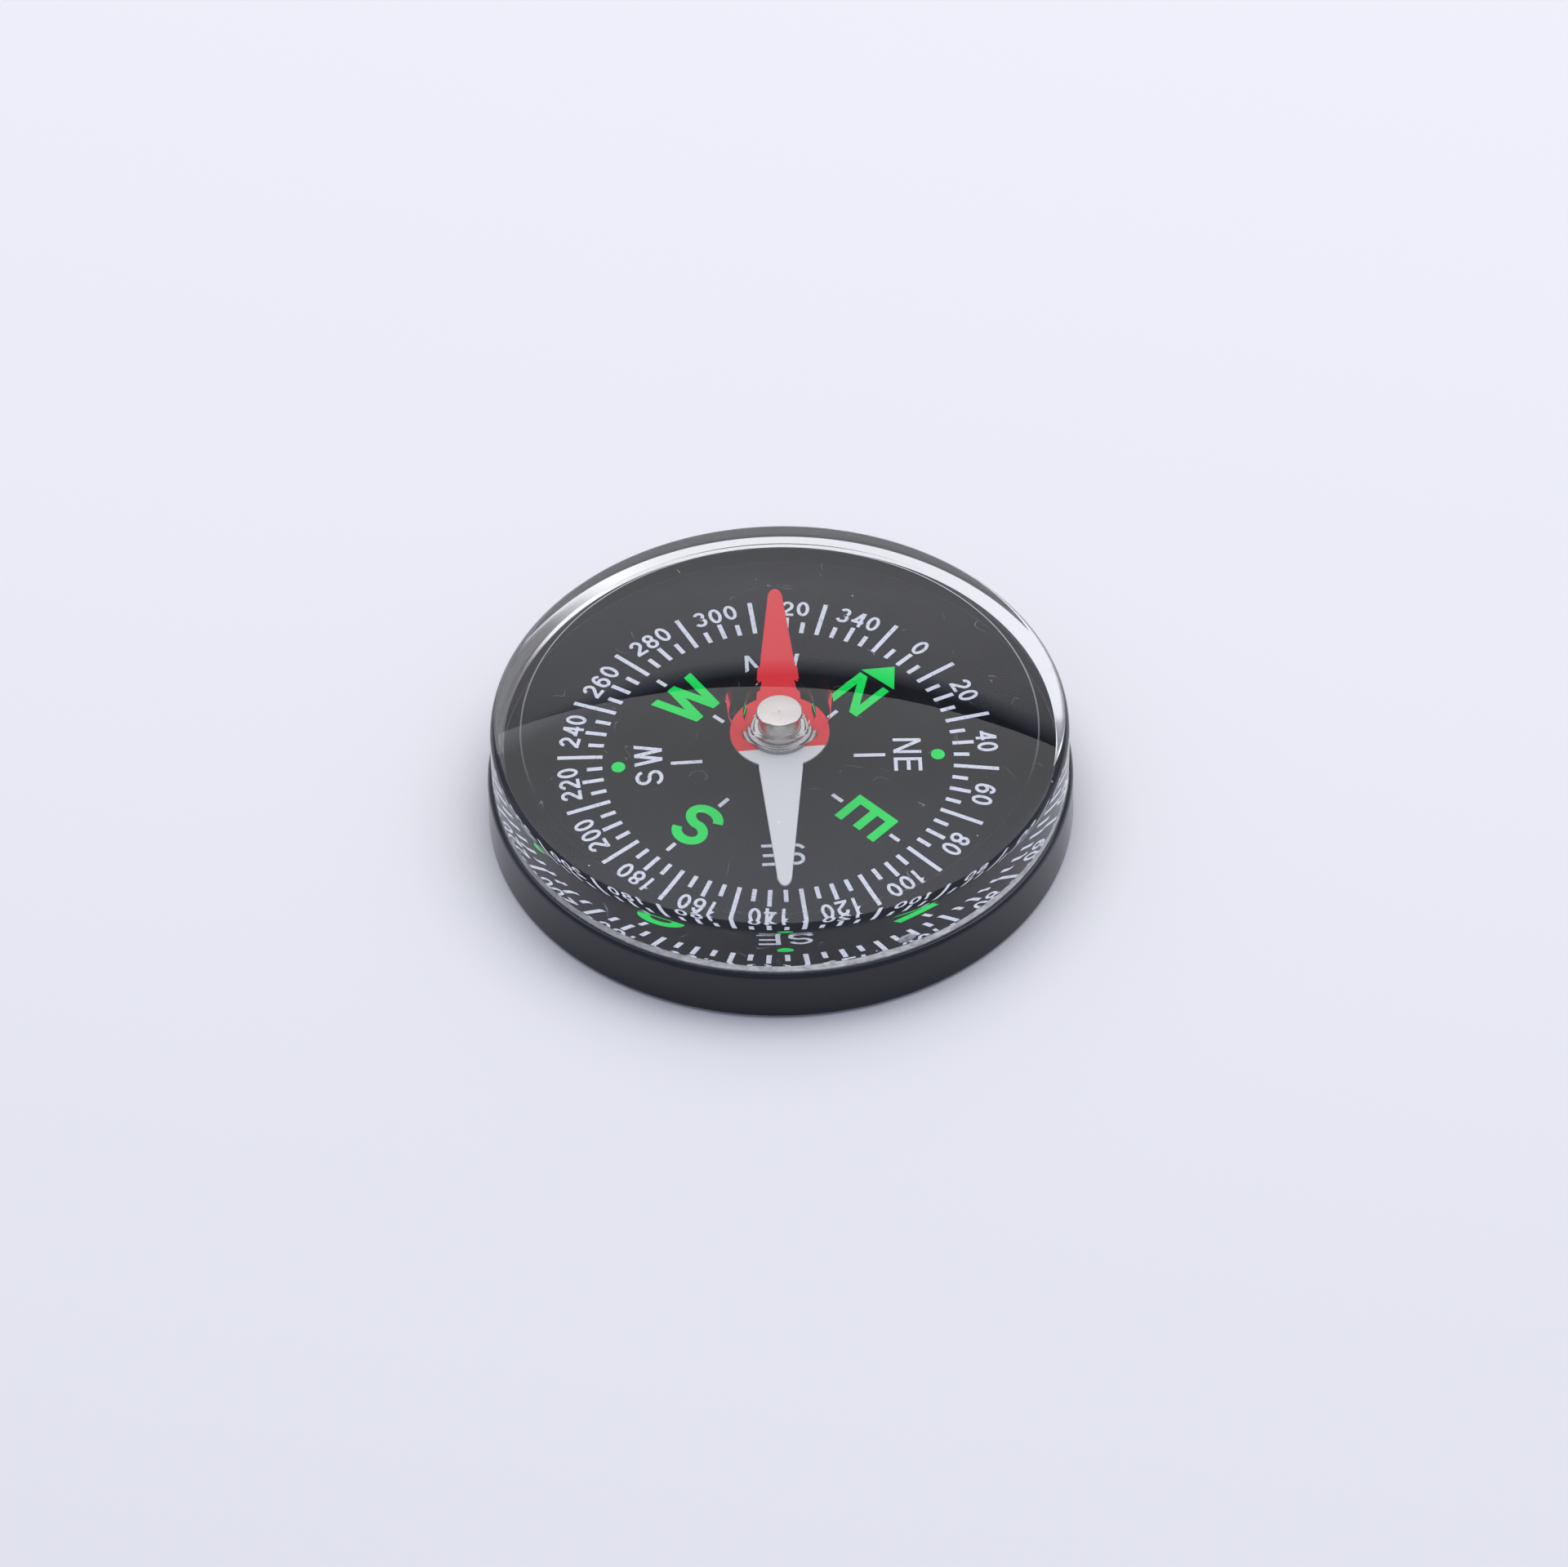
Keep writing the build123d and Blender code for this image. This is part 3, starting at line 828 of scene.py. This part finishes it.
# Floor: a sheet of pale paper that the compass lies on.
view_azimuth = 43.27
paper_half = 1.5
paper_gap = 0.02 * mm
paper_corners = np.array([(-1, -1, 0), (1, -1, 0), (1, 1, 0), (-1, 1, 0)]) * paper_half
floor = make_piece("floor", paper_corners - (0, 0, paper_gap), [(0, 1, 2, 3)])
paper_finish, tree, shader = new_finish(
    "pale_paper", Base_Color=(0.81, 0.785, 0.765, 1), Roughness=0.9, Specular_IOR_Level=0.0)
floor.data.materials.append(paper_finish)

# Light: one wide soft panel above and behind the compass, a pale backdrop low behind it and a dim
# blue fill from all round. The dark gap between panel and backdrop crosses the dome as a band.
panel_height = 0.5
panel_back = 0.52
panel_front = -0.09
panel_width = 1.5
panel_right = 0.15
panel_radiance = 1.38
panel_turn = -7.0
away = np.array([-np.sin(np.radians(view_azimuth)), np.cos(np.radians(view_azimuth)), 0])
panel = bpy.data.lights.new("soft_panel", "AREA")
panel.shape = "RECTANGLE"
panel.size = panel_width
panel.size_y = panel_back - panel_front
panel.energy = np.pi * panel.size * panel.size_y * panel_radiance
panel_lamp = bpy.data.objects.new("soft_panel", panel)
panel.color = (0.98, 0.985, 1.0)
panel_lamp.rotation_euler = (0, 0, np.radians(view_azimuth + panel_turn))
panel_middle = np.array([panel_right, (panel_back + panel_front) / 2, panel_height])
panel_lamp.location = panel_lamp.rotation_euler.to_matrix() @ Vector(panel_middle)
bpy.context.scene.collection.objects.link(panel_lamp)

world = bpy.data.worlds.new("studio")
world.use_nodes = True
bpy.context.scene.world = world
tree = world.node_tree
background = tree.nodes["Background"]
direction = add_node(tree, "ShaderNodeTexCoord")
height = add_node(tree, "ShaderNodeSeparateXYZ")
behind = add_node(tree, "ShaderNodeVectorMath", {1: away.tolist()}, operation="DOT_PRODUCT")
tree.links.new(direction.outputs["Generated"], height.inputs[0])
tree.links.new(direction.outputs["Generated"], behind.inputs[0])
backdrop_top = np.sin(np.radians([38.2, 41.2]))
backdrop_foot = np.sin(np.radians([16, 26]))
low_share = remap(tree, height.outputs["Z"], *backdrop_top, 1.0, 0.0)
back_share = add_node(tree, "ShaderNodeMath", operation="ADD")
tree.links.new(remap(tree, behind.outputs["Value"], 0.0, 0.35, 0.0, 0.28), back_share.inputs[0])
tree.links.new(remap(tree, behind.outputs["Value"], 0.5, 0.76, 0.0, 0.72), back_share.inputs[1])
dim_share = remap(tree, height.outputs["Z"], *backdrop_foot, 0.62, 1.0)
backdrop = add_node(tree, "ShaderNodeMath", operation="MULTIPLY")
backdrop_level = add_node(tree, "ShaderNodeMath", operation="MULTIPLY")
tree.links.new(low_share, backdrop.inputs[0])
tree.links.new(back_share.outputs[0], backdrop.inputs[1])
tree.links.new(backdrop.outputs[0], backdrop_level.inputs[0])
tree.links.new(dim_share, backdrop_level.inputs[1])
studio_level = add_node(tree, "ShaderNodeMath", {1: 1.2}, operation="MULTIPLY_ADD")
tree.links.new(backdrop_level.outputs[0], studio_level.inputs[0])
tree.links.new(remap(tree, behind.outputs["Value"], 0.35, 0.6, 0.52, 0.1), studio_level.inputs[2])
tree.links.new(studio_level.outputs[0], background.inputs["Strength"])
studio_colour = add_node(
    tree, "ShaderNodeMix", {6: (0.79, 0.88, 1.18, 1), 7: (0.95, 0.96, 1.02, 1)}, data_type="RGBA")
tree.links.new(backdrop.outputs[0], studio_colour.inputs[0])
tree.links.new(studio_colour.outputs[2], background.inputs["Color"])

# Camera: a long lens from 45 degrees above, turned slightly, as the compass was pictured.
view_distance = 1000 * mm
view_elevation = np.radians(44.659)
view_roll = np.radians(-1.027)
focal_pixels = 15891
frame_pixels = 1920
off_right = -0.225 * mm
off_up = -1.988 * mm
turn = np.radians(view_azimuth)
back = np.append(-away[:2] * np.cos(view_elevation), np.sin(view_elevation))
level = np.array([np.cos(turn), np.sin(turn), 0])
upright = np.cross(level, -back)
right = np.cos(view_roll) * level + np.sin(view_roll) * upright
up = np.cos(view_roll) * upright - np.sin(view_roll) * level
camera = bpy.data.objects.new("camera", bpy.data.cameras.new("camera"))
camera.data.sensor_width = 36
camera.data.lens = camera.data.sensor_width * focal_pixels / frame_pixels
camera.data.clip_start = 0.05
camera.data.clip_end = 10
axes = np.column_stack([right, up, back, back * view_distance - right * off_right - up * off_up])
camera.matrix_world = Matrix(np.vstack([axes, (0, 0, 0, 1)]).tolist())
bpy.context.scene.collection.objects.link(camera)
bpy.context.scene.camera = camera
bpy.context.scene.view_settings.view_transform = "Standard"
